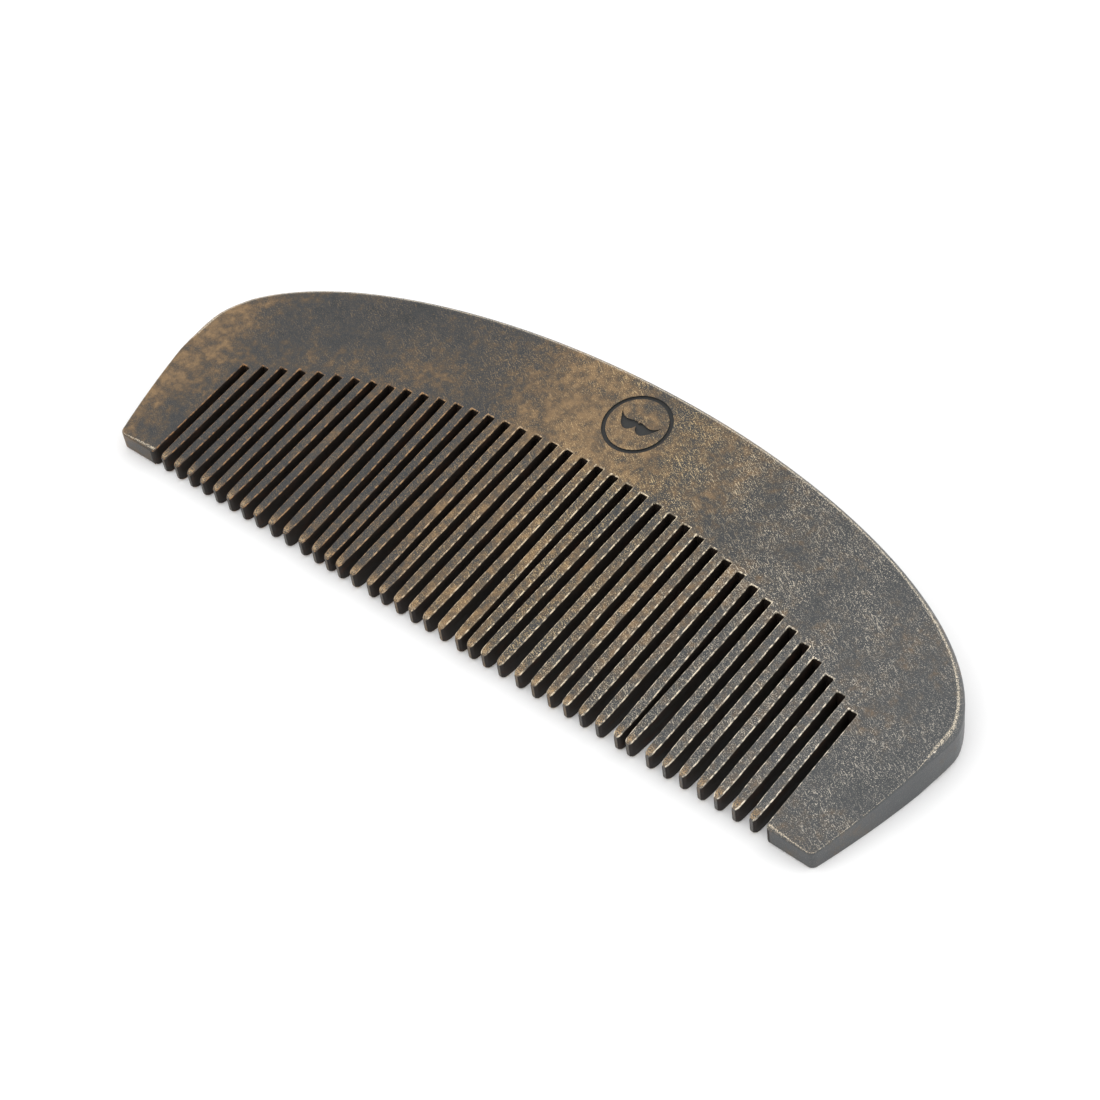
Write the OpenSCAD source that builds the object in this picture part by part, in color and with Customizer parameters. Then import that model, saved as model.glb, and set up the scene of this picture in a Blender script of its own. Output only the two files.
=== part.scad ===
// A half-moon beard comb, sawn from one wedge-shaped board of dark wood.
// It lies on its lower face, with its length along X and the tips of its teeth towards -Y.
// The wood is one piece. Each sub-part is the stretch of it that a saw cut or a root line bounds,
// and neighbours meet face to face. All outlines are drawn from the line of the tips, at y = 0,
// and on_origin() then puts the origin under the middle of the comb.

/* [Board] */
// Length of the comb, across the widest part of its back
comb_length = 108.2; // [104:0.2:116]
// Depth of the comb, from the tips of the teeth to the top of the back
comb_depth = 38.4; // [36:0.2:42]
// Thickness of the board at the tips of the teeth
tip_thickness = 2.4; // [2:0.1:3.4]
// Angle between the upper and the lower face
wedge_angle = 7.8; // [5:0.1:10]

/* [Outline] */
// Rise of the arched back above its widest part
back_rise = 21.6; // [19:0.2:23]
// Angle around the arch at which it turns into the side
shoulder_angle = 5; // [1:1:10]
// How far each side leans in, from the shoulder to the tip of the guard tooth
side_lean = 3.8; // [2:0.1:4]
// How far each side bows out between its two ends
side_bow = 0.4; // [0:0.1:0.8]
// Radius of the corners at the tip of a guard tooth
corner_radius = 0.6; // [0.2:0.1:1]

/* [Teeth] */
// Number of fine teeth between the two guard teeth
tooth_count = 40; // [30:2:40]
// Distance from one fine tooth to the next
tooth_pitch = 2.2; // [1.9:0.05:2.25]
// Width of a saw cut
slot_width = 1.1; // [0.7:0.05:1.2]
// Depth of the middle saw cut, which is the deepest
slot_depth = 25.7; // [23:0.1:27]
// Radius of the arc on which the saw cuts end
root_radius = 98; // [90:1:200]
// Length over which a fine tooth narrows to its tip
taper_length = 3.4; // [3:0.1:6]
// Radius of a fine tooth's tip, seen from above
tip_radius = 0.44; // [0.2:0.02:0.46]
// Length over which both faces of a fine tooth round down to its tip
nose_length = 1.2; // [0.8:0.1:2.5]
// Thickness left at the very tip, as a share of the board's there
nose_share = 0.7; // [0.3:0.05:0.9]
// Distance below the end of a saw cut at which a tooth is divided from the back
seam_drop = 0.3; // [0.2:0.05:0.5]

/* [Hidden] */
half_length = comb_length / 2;
arch_centre_y = comb_depth - back_rise;
arch_half_x = half_length / cos(shoulder_angle);
shoulder_y = arch_centre_y + back_rise * sin(shoulder_angle);
tip_x = half_length - side_lean;
tooth_width = tooth_pitch - slot_width;
middle_slot = tooth_count / 2;
arch_steps = 56;
side_steps = 12;
corner_steps = 5;
tip_steps = 8;
nose_steps = 6;
above_board = 2 * (tip_thickness + comb_depth * tan(wedge_angle));
wood_colour = "#443a31";
guard_colour = "#4b4641";
tooth_colour = "#5a4a3b";

function two_digits(n) = n < 10 ? str("0", n) : str(n);
function tooth_name(n) = str("tooth_", two_digits(n));

// Saw cuts are numbered from 0 at the left, and tooth n stands between cuts n - 1 and n.
function slot_x(k) = (k - middle_slot) * tooth_pitch;
function root_y(k) = slot_depth - root_radius + sqrt(root_radius ^ 2 - slot_x(k) ^ 2);
function tooth_x(n) = (slot_x(n - 1) + slot_x(n)) / 2;

// Neighbour 0 is the left guard tooth and neighbour tooth_count + 1 is the right one.
function seam_y(n) = min(root_y(max(n - 1, 0)), root_y(min(n, tooth_count))) - seam_drop;

// Outline of the right half: t runs up the side from 0 at the tip to 1 at the shoulder
function side_x(t) = tip_x + side_lean * t + 4 * side_bow * t * (1 - t);
function side_point(t) = [side_x(t), shoulder_y * t];
function side_points(t_low, t_high) = [
    for (i = [0 : side_steps]) side_point(t_low + (t_high - t_low) * i / side_steps)
];
function arc_points(centre, radius, from, to, steps) = [
    for (i = [0 : steps])
        let (a = from + (to - from) * i / steps)
        centre + radius * [cos(a), sin(a)]
];
guard_inner_x = slot_x(tooth_count) + slot_width / 2;
guard_seam_y = seam_y(tooth_count + 1);
guard_seam_t = guard_seam_y / shoulder_y;
corner_t = corner_radius / shoulder_y;

// Upper face of the board, and its side view with an optional rounded nose at the tips
function top_z(y) = tip_thickness + y * tan(wedge_angle);
function nose_z(y, side) =
    let (
        middle = top_z(y) / 2,
        rest = max(0, 1 - y / nose_length),
        share = nose_share + (1 - nose_share) * sqrt(1 - rest ^ 2)
    )
    middle + side * middle * share;

module on_origin() {
    translate([0, -comb_depth / 2, 0]) children();
}

module board(width) {
    rotate([90, 0, 90])
        linear_extrude(height = width, center = true)
            polygon([
                [0, 0],
                [comb_depth, 0],
                [comb_depth, top_z(comb_depth)],
                [0, top_z(0)]
            ]);
}

module nosed_board(width) {
    nose = [for (i = [0 : nose_steps]) nose_length * (1 - cos(90 * i / nose_steps))];
    lower = [for (i = [nose_steps : -1 : 0]) [nose[i], nose_z(nose[i], -1)]];
    upper = [for (i = [0 : nose_steps]) [nose[i], nose_z(nose[i], 1)]];
    rotate([90, 0, 90])
        linear_extrude(height = width, center = true)
            polygon(concat(lower, upper, [[comb_depth, top_z(comb_depth)], [comb_depth, 0]]));
}

// The lower edge of the back holds the last of each saw cut, and follows their arc in steps.
module back() {
    half_slot = slot_width / 2;
    arch = [
        for (i = [0 : arch_steps])
            let (a = shoulder_angle + (180 - 2 * shoulder_angle) * i / arch_steps)
            [arch_half_x * cos(a), arch_centre_y + back_rise * sin(a)]
    ];
    right_side = side_points(guard_seam_t, 1);
    left_side = [for (i = [side_steps : -1 : 0]) [-right_side[i].x, right_side[i].y]];
    lower_edge = [
        for (k = [0 : tooth_count])
            each [
                [slot_x(k) - half_slot, seam_y(k)],
                [slot_x(k) - half_slot, root_y(k)],
                [slot_x(k) + half_slot, root_y(k)],
                [slot_x(k) + half_slot, seam_y(k + 1)]
            ]
    ];
    right_edge = [for (p = right_side) if (p.y < shoulder_y) p];
    left_edge = [for (p = left_side) if (p.y < shoulder_y) p];
    color(wood_colour)
        on_origin()
            intersection() {
                linear_extrude(height = above_board)
                    polygon(concat(right_edge, arch, left_edge, lower_edge));
                board(comb_length + 1);
            }
}

module guard_tooth(side) {
    outer_corner = arc_points(
        [side_x(corner_t) - corner_radius, corner_radius], corner_radius, -90, 0, corner_steps
    );
    inner_corner = arc_points(
        [guard_inner_x + corner_radius, corner_radius], corner_radius, 180, 270, corner_steps
    );
    side_edge = [for (p = side_points(corner_t, guard_seam_t)) if (p.y > corner_radius) p];
    color(guard_colour)
        on_origin()
            mirror([side < 0 ? 1 : 0, 0, 0])
                intersection() {
                    linear_extrude(height = above_board)
                        polygon(concat(
                            [[guard_inner_x, guard_seam_y]],
                            inner_corner,
                            outer_corner,
                            side_edge
                        ));
                    board(comb_length + 1);
                }
}

module guard_tooth_left() {
    guard_tooth(-1);
}

module guard_tooth_right() {
    guard_tooth(1);
}

module fine_tooth(n) {
    half_width = tooth_width / 2;
    tip = arc_points([0, tip_radius], tip_radius, 180, 360, tip_steps);
    color(tooth_colour)
        on_origin()
            translate([tooth_x(n), 0, 0])
                intersection() {
                    linear_extrude(height = above_board)
                        polygon(concat(
                            [[-half_width, seam_y(n)], [-half_width, taper_length]],
                            tip,
                            [[half_width, taper_length], [half_width, seam_y(n)]]
                        ));
                    nosed_board(tooth_pitch);
                }
}

back();
guard_tooth_left();
guard_tooth_right();
for (n = [1 : tooth_count])
    fine_tooth(n);
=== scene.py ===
import math
import random

import bpy
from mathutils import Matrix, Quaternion, Vector


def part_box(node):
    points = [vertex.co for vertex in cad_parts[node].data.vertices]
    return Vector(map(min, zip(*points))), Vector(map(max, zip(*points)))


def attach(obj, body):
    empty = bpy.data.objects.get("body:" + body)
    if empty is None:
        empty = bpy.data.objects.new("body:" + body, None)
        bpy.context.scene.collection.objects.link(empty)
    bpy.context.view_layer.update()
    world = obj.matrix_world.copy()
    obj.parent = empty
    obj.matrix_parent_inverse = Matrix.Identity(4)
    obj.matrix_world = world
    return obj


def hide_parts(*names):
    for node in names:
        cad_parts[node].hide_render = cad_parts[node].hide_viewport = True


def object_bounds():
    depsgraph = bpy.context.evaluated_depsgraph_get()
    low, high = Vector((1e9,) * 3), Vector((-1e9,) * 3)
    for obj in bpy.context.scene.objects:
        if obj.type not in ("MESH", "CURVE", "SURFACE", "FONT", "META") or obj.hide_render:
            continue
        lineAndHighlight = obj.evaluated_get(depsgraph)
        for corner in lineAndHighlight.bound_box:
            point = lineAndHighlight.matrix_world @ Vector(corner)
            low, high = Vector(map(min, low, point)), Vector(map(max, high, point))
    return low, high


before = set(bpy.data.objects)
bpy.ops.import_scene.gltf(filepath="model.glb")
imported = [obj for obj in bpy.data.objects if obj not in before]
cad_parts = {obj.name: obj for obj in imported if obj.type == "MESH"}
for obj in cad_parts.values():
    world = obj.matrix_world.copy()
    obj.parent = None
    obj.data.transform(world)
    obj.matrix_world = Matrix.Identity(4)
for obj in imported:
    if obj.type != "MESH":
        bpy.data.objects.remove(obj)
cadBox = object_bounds()
print("frame loaded:", len(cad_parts), "CAD nodes")

# The comb is worked in millimetres and shrunk to metres at the end, because merging and
# bisecting in edit mode are too coarse for a saw cut when a unit is a metre.
mm = 0.001


def onlyActive(piece):
    if bpy.context.mode != "OBJECT":
        bpy.ops.object.mode_set(mode="OBJECT")
    bpy.ops.object.select_all(action="DESELECT")
    piece.select_set(True)
    bpy.context.view_layer.objects.active = piece


def pick(piece, kind, wanted):
    # leaves the piece in edit mode, with only the wanted parts selected, and counts them
    onlyActive(piece)
    mesh = piece.data
    bpy.context.tool_settings.mesh_select_mode = [kind == k for k in ("VERT", "EDGE", "FACE")]
    for group in (mesh.vertices, mesh.edges, mesh.polygons):
        group.foreach_set("select", [False] * len(group))
    if kind == "VERT":
        flags = [wanted(v.co) for v in mesh.vertices]
        mesh.vertices.foreach_set("select", flags)
    if kind == "EDGE":
        ends = [v.co.copy() for v in mesh.vertices]
        flags = [wanted(ends[e.vertices[0]], ends[e.vertices[1]]) for e in mesh.edges]
        mesh.edges.foreach_set("select", flags)
    if kind == "FACE":
        flags = [wanted(f) for f in mesh.polygons]
        mesh.polygons.foreach_set("select", flags)
    bpy.ops.object.mode_set(mode="EDIT")
    return sum(flags)


def applyModifier(piece, kind, **settings):
    onlyActive(piece)
    modifier = piece.modifiers.new(kind.title(), kind)
    for name, value in settings.items():
        setattr(modifier, name, value)
    bpy.ops.object.modifier_apply(modifier=modifier.name)


def bisectAt(place, normal, fill=False, clear=False):
    # the tight threshold keeps the cut from snapping to rows a tenth of a millimetre away
    bpy.ops.mesh.bisect(
        plane_co=place, plane_no=normal, use_fill=fill, clear_outer=clear, threshold=1e-5
    )


def hexColour(code):
    channels = [int(code[i:i + 2], 16) / 255 for i in (1, 3, 5)]
    linear = [c / 12.92 if c <= 0.04045 else ((c + 0.055) / 1.055) ** 2.4 for c in channels]
    return (*linear, 1.0)


# the board, before any saw cut
board = {
    "tipThickness": 2.4,
    "backRise": 21.6,        # of the arch above the widest part
    "shoulderAngle": 5.0,    # round the arch, where it turns into the side
    "sideLean": 3.8,
    "sideBow": 0.4,
    "cornerRadius": 0.6,     # ends of the guard teeth, seen from above
    "archSteps": 216,        # round the whole ellipse
    "softShoulders": {-1: 12, 1: 2},    # smoothing passes on the left and on the right
    "softReach": 5,          # mm from a shoulder that the smoothing takes in
    "sideSteps": 14,
    "archRounding": 1.1,     # rim of the arch, top and bottom
    "sideRounding": 0.17,    # rim of the flat sides, down to the tips
    "roundingFade": 0.72,    # share of a side's height at which its rim starts to round more
    "noseAbove": 0.7,        # rounding of the teeth's noses, on the upper face
    "noseBelow": 1.15,       # and underneath
    "noseMargin": 0.3,       # past the outermost cuts, where the noses end
}

halfLength = cadBox[1].x / mm
tipLine = cadBox[0].y / mm
archTop = cadBox[1].y / mm
backThickness = cadBox[1].z / mm
slope = (backThickness - board["tipThickness"]) / (archTop - tipLine)
wedgeAngle = math.atan(slope)
archCentre = archTop - board["backRise"]
shoulderTurn = math.radians(board["shoulderAngle"])
archHalfX = halfLength / math.cos(shoulderTurn)
shoulderHeight = archCentre + board["backRise"] * math.sin(shoulderTurn)
tipX = halfLength - board["sideLean"]


def topHeight(y):
    return board["tipThickness"] + (y - tipLine) * slope


def sidePoint(t):
    bow = 4 * board["sideBow"] * t * (1 - t)
    x = tipX + board["sideLean"] * t + bow
    return Vector((x, tipLine + (shoulderHeight - tipLine) * t, 0))


def makeBoard():
    bpy.ops.object.select_all(action="DESELECT")
    bpy.ops.mesh.primitive_circle_add(
        vertices=board["archSteps"], radius=1, fill_type="NOTHING", location=(0, 0, 0)
    )
    blank = bpy.context.object
    blank.name = "comb_blank"
    bpy.ops.object.mode_set(mode="EDIT")
    bpy.ops.transform.resize(
        value=(archHalfX, board["backRise"], 1), center_override=(0, 0, 0)
    )
    bpy.ops.transform.translate(value=(0, archCentre, 0))
    pick(blank, "VERT", lambda p: p.y < shoulderHeight - 0.02)
    bpy.ops.mesh.delete(type="VERT")
    # the sides run down from the shoulders to the tips, a short extrusion at a time
    for sign in (1, -1):
        end = Vector((sign * halfLength, shoulderHeight, 0))
        pick(blank, "VERT", lambda p: (p - end).length < 0.05)
        for i in range(board["sideSteps"]):
            here = sidePoint(1 - i / board["sideSteps"])
            there = sidePoint(1 - (i + 1) / board["sideSteps"])
            step = there - here
            bpy.ops.mesh.extrude_vertices_move(
                TRANSFORM_OT_translate={"value": (sign * step.x, step.y, 0)}
            )
    for sign, passes in board["softShoulders"].items():
        shoulder = Vector((sign * halfLength, shoulderHeight, 0))
        pick(blank, "VERT", lambda p: (p - shoulder).length < board["softReach"])
        bpy.ops.mesh.vertices_smooth(factor=0.5, repeat=passes, zaxis=False)
    pick(blank, "VERT", lambda p: p.y < tipLine + 0.01)
    bpy.ops.mesh.edge_face_add()
    bpy.ops.mesh.bevel(
        affect="VERTICES", offset=board["cornerRadius"], segments=5, profile=0.5
    )
    # the tip line is divided where the teeth end, so that only their stretch gets the nose
    for sign in (1, -1):
        pick(blank, "EDGE", lambda a, b: max(a.y, b.y) < tipLine + 0.01)
        bisectAt((sign * (slotX(0) - saw["width"] / 2 - board["noseMargin"]), 0, 0), (1, 0, 0))
    bpy.ops.mesh.select_all(action="SELECT")
    bpy.ops.mesh.edge_face_add()
    bpy.ops.mesh.select_all(action="SELECT")
    bpy.ops.mesh.extrude_region_move(
        TRANSFORM_OT_translate={"value": (0, 0, backThickness + 2)}
    )
    bpy.ops.mesh.select_all(action="SELECT")
    bisectAt(
        (0, tipLine, board["tipThickness"]), (0, -slope, 1), fill=True, clear=True
    )
    bpy.ops.mesh.select_all(action="SELECT")
    bpy.ops.mesh.normals_make_consistent(inside=False)
    roundTheRim(blank)
    return blank


def roundTheRim(blank):
    # a bevel weight of 1 stands for 1 mm of rounding
    onlyActive(blank)
    mesh = blank.data
    weights = mesh.attributes.new("bevel_weight_edge", "FLOAT", "EDGE")
    toothEnd = abs(slotX(0)) - saw["width"] / 2
    for edge in mesh.edges:
        a, b = (mesh.vertices[i].co for i in edge.vertices)
        middle = (a + b) / 2
        upright = abs(a.z - b.z) > 1.5
        if upright:
            continue
        if middle.y < tipLine + 0.05 and abs(middle.x) < toothEnd:
            size = board["noseBelow"] if middle.z < 0.1 else board["noseAbove"]
        elif middle.y > shoulderHeight:
            size = board["archRounding"]
        else:
            up = (middle.y - tipLine) / (shoulderHeight - tipLine)
            start = board["roundingFade"]
            fade = max(0, (up - start) / (1 - start))
            size = board["sideRounding"]
            size += (board["archRounding"] - size) * fade * fade * (3 - 2 * fade)
        weights.data[edge.index].value = size
    applyModifier(
        blank, "BEVEL", limit_method="WEIGHT", width=1.0, segments=5,
        use_clamp_overlap=False, offset_type="OFFSET"
    )


# the 41 saw cuts that make the teeth
saw = {
    "cuts": 41,
    "depth": 25.7,           # of the middle cut
    "rootRadius": 98.0,      # arc on which the cuts end
    "width": 1.1,
    "taper": 3.4,            # length over which a tooth narrows
    "tipRadius": 0.44,
    "tipFlat": 0.26,         # half width left at the very tip
    "bulge": 0.6,            # under 1, the tips swell out like a bullet
    "rows": [0.0, 0.03, 0.1, 0.2, 0.34, 0.6, 1.1, 1.8, 2.6, 3.4],    # up from the tips, as far as the taper
    "edgeWear": 0.11,        # worn edges of every cut
    "seamDrop": 0.3,         # from the end of a cut down to where tooth and back are divided
}

toothCount = saw["cuts"] - 1
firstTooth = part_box("tooth_01")
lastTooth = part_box(f"tooth_{toothCount:02d}")
pitch = (lastTooth[0].x - firstTooth[0].x) / (toothCount - 1) / mm


def slotX(k):
    return (k - toothCount / 2) * pitch


def rootHeight(k):
    radius = saw["rootRadius"]
    return tipLine + saw["depth"] - radius + math.sqrt(radius ** 2 - slotX(k) ** 2)


def seamHeight(n):
    # tooth 0 is the left guard and the last but one number the right guard
    left, right = max(n - 1, 0), min(n, toothCount)
    return min(rootHeight(left), rootHeight(right)) - saw["seamDrop"]


def toothHalfWidth(up):
    full = (pitch - saw["width"]) / 2
    radius = saw["tipRadius"]
    if up >= saw["taper"]:
        return full
    if up >= radius:
        near = (up - radius) / (saw["taper"] - radius)
        return radius + (full - radius) * near ** saw["bulge"]
    return max(saw["tipFlat"], math.sqrt(max(0, radius ** 2 - (radius - up) ** 2)))


def guardCorner(up):
    # how far the guard tooth's inner corner has drawn back at this height
    radius = board["cornerRadius"]
    return radius - math.sqrt(max(0, radius ** 2 - max(0, radius - up) ** 2))


def makeSawCut(k):
    low, high = tipLine - 1, rootHeight(k)
    bpy.ops.object.select_all(action="DESELECT")
    bpy.ops.mesh.primitive_cube_add(size=1, location=(0, 0, 0))
    cut = bpy.context.object
    cut.name = f"saw_cut_{k:02d}"
    bpy.ops.object.mode_set(mode="EDIT")
    bpy.ops.transform.resize(
        value=(saw["width"], high - low, backThickness + 4), center_override=(0, 0, 0)
    )
    bpy.ops.transform.translate(value=(0, (high + low) / 2, backThickness / 2))
    # rows across the mouth of the cut, which then flare to shape the tips on both sides
    for up in saw["rows"]:
        bpy.ops.mesh.select_all(action="SELECT")
        bisectAt((0, tipLine + up, 0), (0, 1, 0))
    for up in [-1.0] + saw["rows"][:-1]:
        for sign in (1, -1):
            atGuard = (k == 0 and sign < 0) or (k == toothCount and sign > 0)
            height = max(up, 0)
            if atGuard:
                reach = saw["width"] / 2 + guardCorner(height)
            else:
                reach = pitch / 2 - toothHalfWidth(height)
            row = tipLine + up
            pick(cut, "VERT", lambda p: abs(p.y - row) < 0.001 and p.x * sign > 0)
            bpy.ops.transform.translate(value=(sign * (reach - saw["width"] / 2), 0, 0))
    bpy.ops.mesh.select_all(action="SELECT")
    bpy.ops.transform.translate(value=(slotX(k), 0, 0))
    bpy.ops.object.mode_set(mode="OBJECT")
    return cut


surfaces = ["sanded", "sawn", "rubbed", "engraved"]    # order of the comb's materials


def takeAway(blank, cutter, surface):
    # the faces that the cutter leaves behind take the named surface
    onlyActive(cutter)
    cutter.data.materials.clear()
    for material in blank.data.materials:
        cutter.data.materials.append(material)
    index = surfaces.index(surface)
    cutter.data.polygons.foreach_set("material_index", [index] * len(cutter.data.polygons))
    applyModifier(blank, "BOOLEAN", operation="DIFFERENCE", solver="EXACT", object=cutter)
    bpy.data.objects.remove(cutter)


def cutTeeth(blank):
    middle = makeSawCut(toothCount // 2)
    cuts = [makeSawCut(0), middle, makeSawCut(toothCount)]
    for k in range(1, toothCount):
        if k == toothCount // 2:
            continue
        onlyActive(middle)
        bpy.ops.object.duplicate()
        cut = bpy.context.object
        rise = rootHeight(k) - rootHeight(toothCount // 2)
        pick(cut, "VERT", lambda p: p.y > tipLine + saw["taper"] + 1)
        bpy.ops.transform.translate(value=(0, rise, 0))
        bpy.ops.mesh.select_all(action="SELECT")
        bpy.ops.transform.translate(value=(slotX(k), 0, 0))
        bpy.ops.object.mode_set(mode="OBJECT")
        cuts.append(cut)
    onlyActive(middle)
    for cut in cuts:
        cut.select_set(True)
    bpy.ops.object.join()
    cutter = bpy.context.object
    takeAway(blank, cutter, "sawn")
    applyModifier(
        blank, "BEVEL", limit_method="ANGLE", angle_limit=math.radians(50),
        width=saw["edgeWear"], segments=2, use_clamp_overlap=False, offset_type="OFFSET",
        material=surfaces.index("rubbed")
    )


# a ring with a moustache, engraved in the back
motif = {
    "place": (2.0, -5.9),    # x, and y below the top of the arch
    "ring": 4.1,             # outer radius
    "line": 0.5,             # width of the ring
    "halfWidth": 2.9,        # of the moustache
    "height": 1.15,
    "columns": 28,
    "depth": 0.2,
}


def moustache(t):
    # centre line and half thickness from the middle, t = 0, out to the curled end, t = 1
    centre = -0.05 - 0.45 * math.sin(math.pi * t) + t ** 3
    half = (0.2 + 0.45 * math.sin(math.pi * t ** 0.6)) * (1 - t ** 3)
    return centre, max(half, 0.01)


def engrave(blank):
    x, y = motif["place"]
    y += archTop
    above = 1.0
    bpy.ops.object.select_all(action="DESELECT")
    bpy.ops.mesh.primitive_circle_add(
        vertices=96, radius=motif["ring"], fill_type="NGON", location=(0, 0, 0)
    )
    ring = bpy.context.object
    bpy.ops.object.mode_set(mode="EDIT")
    bpy.ops.mesh.select_all(action="SELECT")
    bpy.ops.mesh.inset(thickness=motif["line"], depth=0)
    bpy.ops.mesh.delete(type="FACE")
    bpy.ops.mesh.select_all(action="SELECT")
    bpy.ops.mesh.extrude_region_move(TRANSFORM_OT_translate={"value": (0, 0, above)})
    bpy.ops.object.mode_set(mode="OBJECT")
    bpy.ops.object.select_all(action="DESELECT")
    columns = motif["columns"]
    bpy.ops.mesh.primitive_grid_add(
        x_subdivisions=columns, y_subdivisions=1, size=2, location=(0, 0, 0)
    )
    curl = bpy.context.object
    bpy.ops.object.mode_set(mode="EDIT")
    bpy.ops.transform.resize(value=(motif["halfWidth"], 1, 1), center_override=(0, 0, 0))
    for i in range(columns + 1):
        across = -1 + 2 * i / columns
        centre, half = moustache(abs(across))
        for sign in (1, -1):
            column = across * motif["halfWidth"]
            pick(curl, "VERT", lambda p: abs(p.x - column) < 0.01 and p.y * sign > 0.6)
            target = motif["height"] * (centre + sign * half)
            bpy.ops.transform.translate(value=(0, target - sign, 0))
    bpy.ops.mesh.select_all(action="SELECT")
    bpy.ops.mesh.extrude_region_move(TRANSFORM_OT_translate={"value": (0, 0, above)})
    bpy.ops.object.mode_set(mode="OBJECT")
    ring.select_set(True)
    bpy.ops.object.join()
    cutter = bpy.context.object
    bpy.ops.object.mode_set(mode="EDIT")
    bpy.ops.mesh.select_all(action="SELECT")
    bpy.ops.mesh.normals_make_consistent(inside=False)
    bpy.ops.object.mode_set(mode="OBJECT")
    # tipped to lie along the sloping face, with its lower end just under it
    cutter.rotation_euler.x = wedgeAngle
    cutter.location = (x, y, topHeight(y) - motif["depth"])
    bpy.ops.object.transform_apply(location=True, rotation=True, scale=True)
    takeAway(blank, cutter, "engraved")


def divide(comb):
    for k in range(saw["cuts"]):
        pick(comb, "FACE", lambda f: True)
        bisectAt((slotX(k), 0, 0), (1, 0, 0))
    # rows along the teeth
    for up in (3, 8, 12):
        bpy.ops.mesh.select_all(action="SELECT")
        bisectAt((0, tipLine + up, 0), (0, 1, 0))
    pieces = {}
    for n in range(toothCount + 2):
        left = slotX(n - 1) if n > 0 else -halfLength - 1
        right = slotX(n) if n <= toothCount else halfLength + 1
        seam = seamHeight(n)
        pick(comb, "FACE", lambda f: left < f.center.x < right)
        bisectAt((0, seam, 0), (0, 1, 0))
        pick(comb, "FACE", lambda f: left < f.center.x < right and f.center.y < seam)
        bpy.ops.mesh.separate(type="SELECTED")
        bpy.ops.object.mode_set(mode="OBJECT")
        tooth = [o for o in bpy.context.selected_objects if o is not comb][0]
        if n == 0:
            name = "guard_tooth_left"
        elif n == toothCount + 1:
            name = "guard_tooth_right"
        else:
            name = f"tooth_{n:02d}"
        pieces[name] = tooth
    pieces["back"] = comb
    for name, piece in pieces.items():
        piece.name = f"wood_{name}"
        piece.data.name = piece.name
        # where the rim's rounding overran the lower face, it is pressed flat again
        if pick(piece, "VERT", lambda p: p.z < 0):
            bpy.ops.transform.resize(value=(1, 1, 0), center_override=(0, 0, 0))
        bpy.ops.mesh.select_all(action="SELECT")
        bpy.ops.mesh.fill_holes(sides=0)
        bpy.ops.mesh.select_all(action="SELECT")
        bpy.ops.mesh.normals_make_consistent(inside=False)
        bpy.ops.object.mode_set(mode="OBJECT")
    return pieces


# teeth that have warped sideways with use
warp = {
    # sideways shift of a tip in millimetres, by tooth number
    "shift": {
        9: 0.3, 10: 0.4, 11: 0.7, 12: 0.6, 13: 0.35, 16: 0.3, 22: 0.25, 23: -0.2,
        24: -0.4, 25: -0.35, 32: 0.3, 33: -0.35,
    },
    "spread": 0.06,          # small shift of all the others
    "seed": 4,
}


def warpTeeth(pieces):
    chance = random.Random(warp["seed"])
    for n in range(1, toothCount + 1):
        shift = warp["shift"].get(n, chance.uniform(-1, 1) * warp["spread"])
        seam = seamHeight(n)
        centre = (slotX(n - 1) + slotX(n)) / 2
        tooth = pieces[f"tooth_{n:02d}"]
        pick(tooth, "VERT", lambda p: p.y < seam - 0.01)
        bpy.ops.transform.rotate(
            value=-math.atan(shift / (seam - tipLine)), orient_axis="Z",
            center_override=(centre, seam, 0)
        )
        bpy.ops.object.mode_set(mode="OBJECT")


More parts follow.
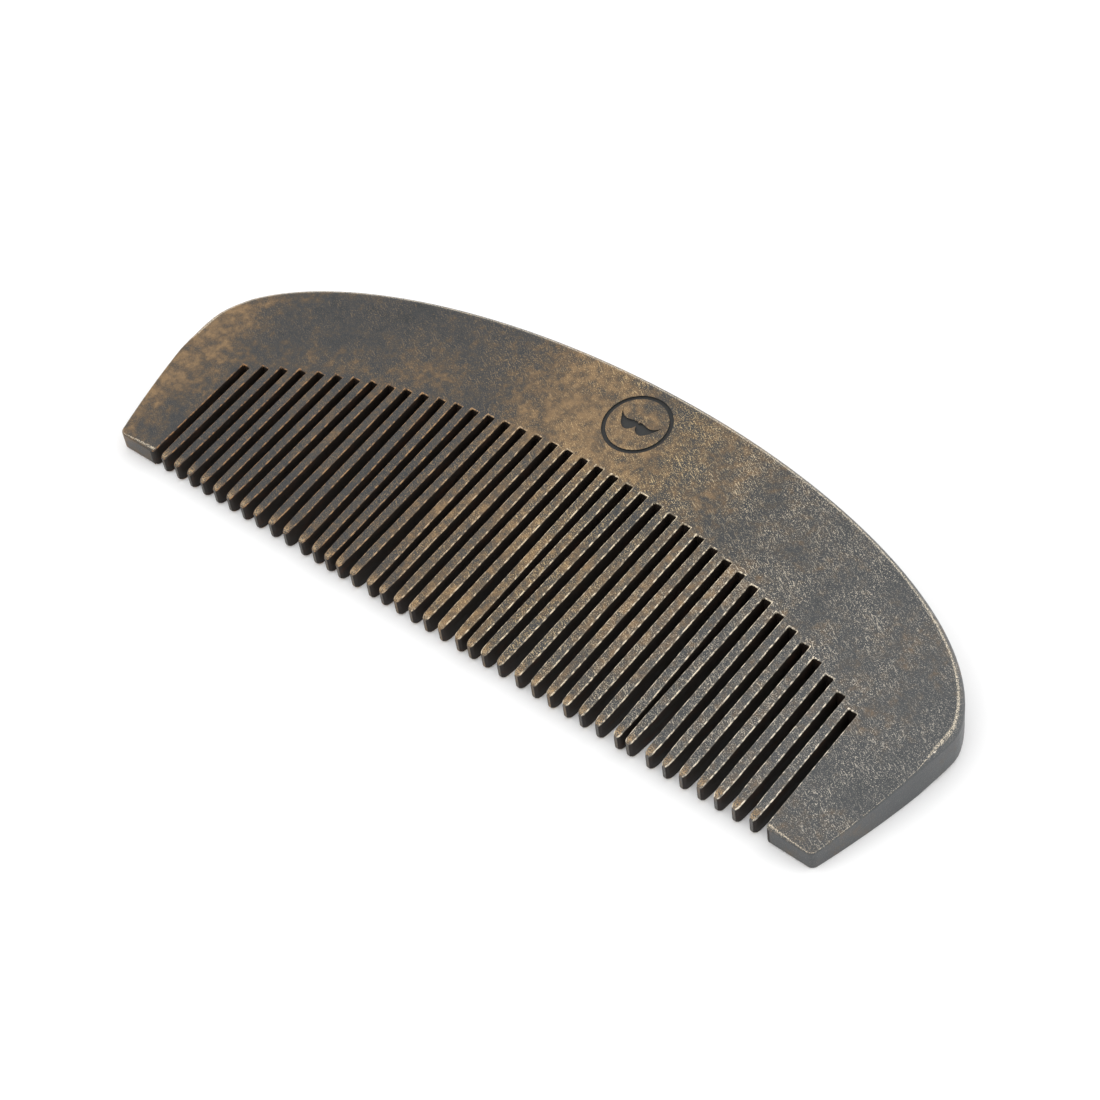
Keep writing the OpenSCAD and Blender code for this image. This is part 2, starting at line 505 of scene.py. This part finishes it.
# Dark stained hardwood, sawn, sanded and oiled: a satin brown and charcoal face with cloudy stain and a
# painted grey sheen towards the right, fine pale flecks where the sanding opened the pores mixed with
# painted glints, paler rubbed edges with painted highlights, and saw walls painted darker as shade.
woodLook = {
    "stainClouds": (14.0, 9.0, 14.0),    # mm, size of the darker and browner clouds
    "mottle": (1.1, 1.1, 1.2),           # mm
    "cloudStrength": 1.5,
    "mottleStrength": 1.6,
    "flecks": (0.11, 0.12, 0.12),        # mm, a real pore is about half of it
    "fleckPatches": (4.0, 5.0, 4.0),
    "strokes": (0.8, 0.13, 0.4),         # mm, sanding strokes, drawn twice as coarse as real
    "strokeTurn": -29.0,                 # degrees from the length of the comb
    "sawnPatches": (1.6, 3.6, 1.0),      # mm, red brown places on the walls of the cuts
    "lineBreaks": (0.35, 0.6, 0.4),      # mm, gaps in the pale line along a cut
    "burnGrain": (0.3, 0.3, 0.3),        # mm
    "stain": [
        (0.0, "#2c2e2f"), (0.3, "#363738"), (0.5, "#423d37"), (0.72, "#5b4b39"), (1.0, "#816849"),
    ],
    "brownAlong": [
        (0.0, 0.8), (0.055, 0.66), (0.11, 0.34), (0.2, 0.28), (0.28, 0.46), (0.35, 0.4),
        (0.42, 0.76), (0.5, 0.66), (0.57, 0.5), (0.65, 0.54), (0.74, 0.38), (1.0, 0.25),
    ],
    # painted sheen: the share of grey mixed into the colour, rising towards the right
    "paintedSheenAlong": [(0.0, 0.0), (0.55, 0.02), (0.7, 0.08), (0.85, 0.2), (1.0, 0.26)],
    "paintedSheenGrey": "#6b6e70",
    # pale flecks, more of them and paler towards the right: partly pores and dust, partly painted glints
    "fleckAndGlintAlong": [(0.0, 0.35), (0.3, 0.4), (0.45, 1.0), (0.65, 1.0), (0.85, 0.85), (1.0, 0.7)],
    "fleckAndGlintColours": [
        (0.0, "#b3946c"), (0.4, "#c2a274"), (0.58, "#e0c491"), (0.72, "#dccfb8"), (1.0, "#dcd3c4"),
    ],
    # pale line at the rim: partly wear, partly a painted highlight
    "rimLineAndHighlight": "#dccfb8",
    "tan": "#a5875f",
    # rubbed line on the cut edges, nearly white on the right: partly wear, partly a painted highlight
    "lineAndHighlightAlong": [(0.0, "#8f6640"), (0.35, "#b08c64"), (0.55, "#efdcbb"), (1.0, "#fbf0dc")],
    # saw walls: dark stained wood, with the near black stops as painted shade of the narrow cuts
    "sawn": [(0.0, "#120f0d"), (0.55, "#1f1813"), (0.8, "#3a2316"), (1.0, "#4a2c1a")],
    "burnt": ("#232424", "#383837"),
    "bumpHeight": 0.03,                  # mm
}


def addNode(tree, kind, settings=None, links=None):
    node = tree.nodes.new(kind)
    for name, value in (settings or {}).items():
        if isinstance(name, int) or name in node.inputs.keys():
            node.inputs[name].default_value = value
        elif name == "stops":
            while len(node.color_ramp.elements) < len(value):
                node.color_ramp.elements.new(0.5)
            for element, (place, colour) in zip(node.color_ramp.elements, value):
                grey = not isinstance(colour, str)
                element.position = place
                element.color = (colour, colour, colour, 1) if grey else hexColour(colour)
        else:
            setattr(node, name, value)
    for name, source in (links or {}).items():
        tree.links.new(source, node.inputs[name])
    return node


def sized(size):
    return tuple(side * mm for side in size)


def startMaterial(name):
    material = bpy.data.materials.new(name)
    material.use_nodes = True
    tree = material.node_tree
    shader = tree.nodes["Principled BSDF"]
    place = addNode(tree, "ShaderNodeTexCoord")
    return material, tree, shader, place


def stainedWoodAndSheen(tree, place):
    # the stain's colour, with a painted grey sheen mixed in on the right, and the two fine patterns that
    # lie in it
    where = place.outputs["Object"]
    split = addNode(tree, "ShaderNodeSeparateXYZ", links={0: where})
    along = addNode(
        tree, "ShaderNodeMapRange",
        {"From Min": -halfLength * mm, "From Max": halfLength * mm}, {"Value": split.outputs["X"]}
    )
    brownAlong = addNode(
        tree, "ShaderNodeValToRGB", {"stops": woodLook["brownAlong"]},
        {"Fac": along.outputs["Result"]}
    )
    cloudPlace = addNode(
        tree, "ShaderNodeMapping",
        {"vector_type": "TEXTURE", "Scale": sized(woodLook["stainClouds"])}, {"Vector": where}
    )
    clouds = addNode(
        tree, "ShaderNodeTexNoise", {"Scale": 1.0, "Detail": 4.0, "Roughness": 0.6},
        {"Vector": cloudPlace.outputs["Vector"]}
    )
    mottlePlace = addNode(
        tree, "ShaderNodeMapping",
        {"vector_type": "TEXTURE", "Scale": sized(woodLook["mottle"])}, {"Vector": where}
    )
    mottle = addNode(
        tree, "ShaderNodeTexNoise", {"Scale": 1.0, "Detail": 5.0, "Roughness": 0.65},
        {"Vector": mottlePlace.outputs["Vector"]}
    )
    cloudy = addNode(
        tree, "ShaderNodeMath", {"operation": "MULTIPLY_ADD", 1: woodLook["cloudStrength"]},
        {0: clouds.outputs["Fac"], 2: brownAlong.outputs["Color"]}
    )
    mottled = addNode(
        tree, "ShaderNodeMath", {"operation": "MULTIPLY_ADD", 1: woodLook["mottleStrength"]},
        {0: mottle.outputs["Fac"], 2: cloudy.outputs["Value"]}
    )
    # both noises centre on a half, so this brings the sum back to the ramp's own range
    middle = (woodLook["cloudStrength"] + woodLook["mottleStrength"]) / 2
    brown = addNode(
        tree, "ShaderNodeMath", {"operation": "SUBTRACT", 1: middle},
        {0: mottled.outputs["Value"]}
    )
    stain = addNode(
        tree, "ShaderNodeValToRGB", {"stops": woodLook["stain"]}, {"Fac": brown.outputs["Value"]}
    )
    # towards the right a grey is mixed into the colour: a painted sheen of the bright surroundings on the
    # face
    paintedSheenAlong = addNode(
        tree, "ShaderNodeValToRGB", {"stops": woodLook["paintedSheenAlong"]},
        {"Fac": along.outputs["Result"]}
    )
    paintedSheened = addNode(
        tree, "ShaderNodeMix", {"data_type": "RGBA", 7: hexColour(woodLook["paintedSheenGrey"])},
        {0: paintedSheenAlong.outputs["Color"], 6: stain.outputs["Color"]}
    )
    fleckAndGlintAlong = addNode(
        tree, "ShaderNodeValToRGB", {"stops": woodLook["fleckAndGlintAlong"]},
        {"Fac": along.outputs["Result"]}
    )
    patchPlace = addNode(
        tree, "ShaderNodeMapping",
        {
            "vector_type": "TEXTURE", "Scale": sized(woodLook["fleckPatches"]),
            "Location": (0.01, 0, 0)
        },
        {"Vector": where}
    )
    patches = addNode(
        tree, "ShaderNodeTexNoise", {"Scale": 1.0, "Detail": 2.0, "Roughness": 0.5},
        {"Vector": patchPlace.outputs["Vector"]}
    )
    patchy = addNode(
        tree, "ShaderNodeMapRange", {"From Min": 0.36, "From Max": 0.6, "To Min": 0.35},
        {"Value": patches.outputs["Fac"]}
    )
    amount = addNode(
        tree, "ShaderNodeMath", {"operation": "MULTIPLY"},
        {0: patchy.outputs["Result"], 1: fleckAndGlintAlong.outputs["Color"]}
    )
    fleckPlace = addNode(
        tree, "ShaderNodeMapping", {"vector_type": "TEXTURE", "Scale": sized(woodLook["flecks"])},
        {"Vector": where}
    )
    flecks = addNode(
        tree, "ShaderNodeTexNoise", {"Scale": 1.0, "Detail": 2.0, "Roughness": 0.6},
        {"Vector": fleckPlace.outputs["Vector"]}
    )
    fleckMask = addNode(
        tree, "ShaderNodeMapRange", {"From Min": 0.58, "From Max": 0.66},
        {"Value": flecks.outputs["Fac"]}
    )
    strokePlace = addNode(
        tree, "ShaderNodeMapping",
        {"vector_type": "TEXTURE", "Rotation": (0, 0, math.radians(woodLook["strokeTurn"])),
         "Scale": sized(woodLook["strokes"])},
        {"Vector": where}
    )
    strokes = addNode(
        tree, "ShaderNodeTexNoise", {"Scale": 1.0, "Detail": 2.0, "Roughness": 0.5},
        {"Vector": strokePlace.outputs["Vector"]}
    )
    strokeMask = addNode(
        tree, "ShaderNodeMapRange", {"From Min": 0.6, "From Max": 0.72, "To Max": 0.7},
        {"Value": strokes.outputs["Fac"]}
    )
    fine = addNode(
        tree, "ShaderNodeMath", {"operation": "MAXIMUM"},
        {0: fleckMask.outputs["Result"], 1: strokeMask.outputs["Result"]}
    )
    # pale flecks and strokes, partly painted glints
    paleFlecksAndGlints = addNode(
        tree, "ShaderNodeMath", {"operation": "MULTIPLY"},
        {0: fine.outputs["Value"], 1: amount.outputs["Value"]}
    )
    # the colour returned as the stain already carries the painted grey sheen
    return {
        "stain": paintedSheened.outputs[2], "paleFlecksAndGlints": paleFlecksAndGlints.outputs["Value"], "fine": fine.outputs["Value"],
        "mottle": mottle.outputs["Fac"], "flecks": flecks.outputs["Fac"],
        "split": split, "along": along.outputs["Result"],
    }


def finishSurface(tree, shader, colour, pattern, rough, height):
    # uneven satin, and a shallow relief of the pores and sanding strokes
    gloss = addNode(
        tree, "ShaderNodeMapRange",
        {"From Min": 0.3, "From Max": 0.7, "To Min": rough[0], "To Max": rough[1]},
        {"Value": pattern}
    )
    relief = addNode(
        tree, "ShaderNodeBump", {"Strength": 0.5, "Distance": woodLook["bumpHeight"] * mm},
        {"Height": height}
    )
    tree.links.new(colour, shader.inputs["Base Color"])
    tree.links.new(gloss.outputs["Result"], shader.inputs["Roughness"])
    tree.links.new(relief.outputs["Normal"], shader.inputs["Normal"])
    shader.inputs["IOR"].default_value = 1.5
    shader.inputs["Specular IOR Level"].default_value = 0.32


def makeSanded():
    material, tree, shader, place = startMaterial("dark_hardwood_sanded_oiled_painted_sheen")
    wood = stainedWoodAndSheen(tree, place)
    # the sanded faces hold the pale flecks, partly pores and partly painted glints, and the walls round the
    # outline stay smooth and grey
    facing = addNode(tree, "ShaderNodeSeparateXYZ", links={0: place.outputs["Normal"]})
    upright = addNode(
        tree, "ShaderNodeMath", {"operation": "ABSOLUTE"}, {0: facing.outputs["Z"]}
    )
    onFace = addNode(
        tree, "ShaderNodeMapRange", {"From Min": 0.45, "From Max": 0.9, "To Min": 0.12},
        {"Value": upright.outputs["Value"]}
    )
    faceFlecksAndGlints = addNode(
        tree, "ShaderNodeMath", {"operation": "MULTIPLY"},
        {0: wood["paleFlecksAndGlints"], 1: onFace.outputs["Result"]}
    )
    fleckAndGlintColour = addNode(
        tree, "ShaderNodeValToRGB", {"stops": woodLook["fleckAndGlintColours"]}, {"Fac": wood["along"]}
    )
    fleckedAndGlinting = addNode(
        tree, "ShaderNodeMix", {"data_type": "RGBA"},
        {0: faceFlecksAndGlints.outputs["Value"], 6: wood["stain"], 7: fleckAndGlintColour.outputs["Color"]}
    )
    # the rim turns down over a broken pale line, partly wear and partly a painted highlight where the
    # rounding starts
    turned = addNode(
        tree, "ShaderNodeMapRange", {"From Min": 0.985, "From Max": 0.965},
        {"Value": upright.outputs["Value"]}
    )
    notWall = addNode(
        tree, "ShaderNodeMapRange", {"From Min": 0.85, "From Max": 0.93},
        {"Value": upright.outputs["Value"]}
    )
    broken = addNode(
        tree, "ShaderNodeMapRange", {"From Min": 0.45, "From Max": 0.55, "To Max": 0.9},
        {"Value": wood["flecks"]}
    )
    band = addNode(
        tree, "ShaderNodeMath", {"operation": "MULTIPLY"},
        {0: turned.outputs["Result"], 1: notWall.outputs["Result"]}
    )
    wornAndLitRim = addNode(
        tree, "ShaderNodeMath", {"operation": "MULTIPLY"},
        {0: band.outputs["Value"], 1: broken.outputs["Result"]}
    )
    rimWornAndLit = addNode(
        tree, "ShaderNodeMix", {"data_type": "RGBA", 7: hexColour(woodLook["rimLineAndHighlight"])},
        {0: wornAndLitRim.outputs["Value"], 6: fleckedAndGlinting.outputs[2]}
    )
    # the last millimetre of the tips is rubbed through to tan wood
    nearTip = addNode(
        tree, "ShaderNodeMapRange",
        {"From Min": (tipLine + 1.5) * mm, "From Max": (tipLine + 0.6) * mm},
        {"Value": wood["split"].outputs["Y"]}
    )
    fromMiddle = addNode(
        tree, "ShaderNodeMath", {"operation": "ABSOLUTE"}, {0: wood["split"].outputs["X"]}
    )
    rowEnd = abs(slotX(0)) + saw["width"] / 2
    fineTooth = addNode(
        tree, "ShaderNodeMapRange",
        {"From Min": (rowEnd + 0.05) * mm, "From Max": (rowEnd - 0.25) * mm, "To Min": 0.12},
        {"Value": fromMiddle.outputs["Value"]}
    )
    tips = addNode(
        tree, "ShaderNodeMath", {"operation": "MULTIPLY"},
        {0: nearTip.outputs["Result"], 1: fineTooth.outputs["Result"]}
    )
    tipTops = addNode(
        tree, "ShaderNodeMath", {"operation": "MULTIPLY"},
        {0: tips.outputs["Value"], 1: onFace.outputs["Result"]}
    )
    tipWear = addNode(
        tree, "ShaderNodeMath", {"operation": "MULTIPLY"},
        {0: tipTops.outputs["Value"], 1: broken.outputs["Result"]}
    )
    tipped = addNode(
        tree, "ShaderNodeMix", {"data_type": "RGBA", 7: hexColour(woodLook["tan"])},
        {0: tipWear.outputs["Value"], 6: rimWornAndLit.outputs[2]}
    )
    finishSurface(tree, shader, tipped.outputs[2], wood["mottle"], (0.34, 0.52), wood["fine"])
    return material


def makeSawnWithPaintedShade():
    # walls left by the saw, dark with the stain and painted near black for the shade inside the narrow
    # cuts, with red brown wood showing in places
    material, tree, shader, place = startMaterial("dark_hardwood_sawn_painted_shade")
    where = place.outputs["Object"]
    cutPlace = addNode(
        tree, "ShaderNodeMapping", {"vector_type": "TEXTURE", "Scale": sized(woodLook["sawnPatches"])},
        {"Vector": where}
    )
    patches = addNode(
        tree, "ShaderNodeTexNoise", {"Scale": 1.0, "Detail": 4.0, "Roughness": 0.6},
        {"Vector": cutPlace.outputs["Vector"]}
    )
    colour = addNode(
        tree, "ShaderNodeValToRGB", {"stops": woodLook["sawn"]}, {"Fac": patches.outputs["Fac"]}
    )
    pattern = patches.outputs["Fac"]
    finishSurface(tree, shader, colour.outputs["Color"], pattern, (0.5, 0.7), pattern)
    return material


def makeRubbedEdgeAndHighlight():
    # edges of the saw cuts, where handling has rubbed the stain off in a thin broken line, partly a painted
    # highlight that grows paler towards the right
    material, tree, shader, place = startMaterial("dark_hardwood_rubbed_edge_and_highlight")
    wood = stainedWoodAndSheen(tree, place)
    linePlace = addNode(
        tree, "ShaderNodeMapping", {"vector_type": "TEXTURE", "Scale": sized(woodLook["lineBreaks"])},
        {"Vector": place.outputs["Object"]}
    )
    line = addNode(
        tree, "ShaderNodeTexNoise", {"Scale": 1.0, "Detail": 3.0, "Roughness": 0.65},
        {"Vector": linePlace.outputs["Vector"]}
    )
    rubbed = addNode(
        tree, "ShaderNodeMapRange",
        {"From Min": 0.47, "From Max": 0.6, "To Min": 0.1, "To Max": 0.95},
        {"Value": line.outputs["Fac"]}
    )
    # height above the underside, and depth below the sloping face
    depth = addNode(
        tree, "ShaderNodeVectorMath",
        {"operation": "DOT_PRODUCT", 1: (0, -math.sin(wedgeAngle), math.cos(wedgeAngle))},
        {0: place.outputs["Object"]}
    )
    faceLevel = board["tipThickness"] * math.cos(wedgeAngle) - tipLine * math.sin(wedgeAngle)
    nearFace = addNode(
        tree, "ShaderNodeMapRange",
        {"From Min": (faceLevel - 0.3) * mm, "From Max": (faceLevel - 0.15) * mm},
        {"Value": depth.outputs["Value"]}
    )
    nearBottom = addNode(
        tree, "ShaderNodeMapRange", {"From Min": 0.3 * mm, "From Max": 0.15 * mm},
        {"Value": wood["split"].outputs["Z"]}
    )
    nearEither = addNode(
        tree, "ShaderNodeMath", {"operation": "MAXIMUM"},
        {0: nearFace.outputs["Result"], 1: nearBottom.outputs["Result"]}
    )
    lineAndHighlight = addNode(
        tree, "ShaderNodeMath", {"operation": "MULTIPLY"},
        {0: rubbed.outputs["Result"], 1: nearEither.outputs["Value"]}
    )
    lineAndHighlightColour = addNode(
        tree, "ShaderNodeValToRGB", {"stops": woodLook["lineAndHighlightAlong"]},
        {"Fac": wood["along"]}
    )
    # away from the faces the bevel takes the saw walls' near black: painted shade
    shadedOrStained = addNode(
        tree, "ShaderNodeMix",
        {"data_type": "RGBA", 6: hexColour(woodLook["sawn"][1][1])},
        {0: nearEither.outputs["Value"], 7: wood["stain"]}
    )
    colour = addNode(
        tree, "ShaderNodeMix", {"data_type": "RGBA"},
        {0: lineAndHighlight.outputs["Value"], 6: shadedOrStained.outputs[2], 7: lineAndHighlightColour.outputs["Color"]}
    )
    finishSurface(tree, shader, colour.outputs[2], wood["mottle"], (0.4, 0.55), wood["fine"])
    return material


def makeEngraved():
    # burnt line of a laser: an even dull charcoal
    material, tree, shader, place = startMaterial("dark_hardwood_laser_engraved")
    burnPlace = addNode(
        tree, "ShaderNodeMapping", {"vector_type": "TEXTURE", "Scale": sized(woodLook["burnGrain"])},
        {"Vector": place.outputs["Object"]}
    )
    burn = addNode(
        tree, "ShaderNodeTexNoise", {"Scale": 1.0, "Detail": 3.0},
        {"Vector": burnPlace.outputs["Vector"]}
    )
    colour = addNode(
        tree, "ShaderNodeMix",
        {
            "data_type": "RGBA", 6: hexColour(woodLook["burnt"][0]),
            7: hexColour(woodLook["burnt"][1])
        },
        {0: burn.outputs["Fac"]}
    )
    pattern = burn.outputs["Fac"]
    finishSurface(tree, shader, colour.outputs[2], pattern, (0.55, 0.7), pattern)
    return material


comb = makeBoard()
for material in (makeSanded(), makeSawnWithPaintedShade(), makeRubbedEdgeAndHighlight(), makeEngraved()):
    comb.data.materials.append(material)
print("board made:", len(comb.data.polygons), "faces")
cutTeeth(comb)
print("teeth cut:", len(comb.data.polygons), "faces")
engrave(comb)
print("moustache engraved")
pieces = divide(comb)
print("divided into", len(pieces), "pieces")
warpTeeth(pieces)

for name, piece in pieces.items():
    onlyActive(piece)
    bpy.ops.object.shade_smooth_by_angle(angle=math.radians(35))
    applyModifier(piece, "WEIGHTED_NORMAL", keep_sharp=True, weight=50)
    piece.scale = (mm, mm, mm)
    bpy.ops.object.transform_apply(location=True, rotation=True, scale=True)
    onlyActive(piece)
    bpy.ops.object.material_slot_remove_unused()
    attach(piece, "root")
    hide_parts(name)
print("pieces finished")


# floor, light and camera
studio = {
    "floorSize": 6.0,
    "paper": "#fafafa",
    "worldLevel": 1.15,
    # name: place and size in metres, power in watts
    "lights": {
        "soft_back_right": ((0.38, 0.69, 0.41), 0.7, 1.6),
        "soft_front_left": ((-0.5, -0.5, 0.7), 0.9, 0.8),
        "soft_right": ((0.7, 0.32, 0.2), 0.4, 0.9),
    },
    "aim": (0.00453, -0.00487, 0.00400),
    "distance": 0.2591,
    "azimuth": 47.8,
    "elevation": 46.94,
    "roll": -9.07,
    "lens": 78.8,
}


def makeStudio():
    bpy.ops.object.select_all(action="DESELECT")
    bpy.ops.mesh.primitive_plane_add(size=studio["floorSize"], location=(0, 0, -0.00002))
    floor = bpy.context.object
    floor.name = "studio_floor"
    bpy.ops.object.transform_apply(location=True, rotation=True, scale=True)
    paper = bpy.data.materials.new("white_paper_matte")
    paper.use_nodes = True
    shader = paper.node_tree.nodes["Principled BSDF"]
    shader.inputs["Base Color"].default_value = hexColour(studio["paper"])
    shader.inputs["Roughness"].default_value = 0.9
    floor.data.materials.append(paper)

    # the plain view keeps the paper white and the wood's colours as they are written here
    bpy.context.scene.view_settings.view_transform = "Standard"
    world = bpy.data.worlds.new("studio_tent")
    bpy.context.scene.world = world
    world.use_nodes = True
    background = world.node_tree.nodes["Background"]
    background.inputs["Color"].default_value = hexColour("#ffffff")
    background.inputs["Strength"].default_value = studio["worldLevel"]

    for name, (place, size, watts) in studio["lights"].items():
        light = bpy.data.lights.new(name, "AREA")
        light.shape = "SQUARE"
        light.size = size
        light.energy = watts
        lamp = bpy.data.objects.new(name, light)
        bpy.context.collection.objects.link(lamp)
        lamp.location = place
        lamp.rotation_mode = "QUATERNION"
        lamp.rotation_quaternion = (-Vector(place)).to_track_quat("-Z", "Y")

    lens = bpy.data.cameras.new("camera")
    lens.lens = studio["lens"]
    lens.sensor_width = 36.0
    lens.clip_start, lens.clip_end = 0.01, 20.0
    camera = bpy.data.objects.new("camera", lens)
    bpy.context.collection.objects.link(camera)
    a, e = math.radians(studio["azimuth"]), math.radians(studio["elevation"])
    back = Vector((math.sin(a) * math.cos(e), -math.cos(a) * math.cos(e), math.sin(e)))
    camera.location = Vector(studio["aim"]) + back * studio["distance"]
    camera.rotation_mode = "QUATERNION"
    level = (-back).to_track_quat("-Z", "Y")
    camera.rotation_quaternion = level @ Quaternion((0, 0, 1), math.radians(studio["roll"]))
    bpy.context.scene.camera = camera


makeStudio()
print("studio made")
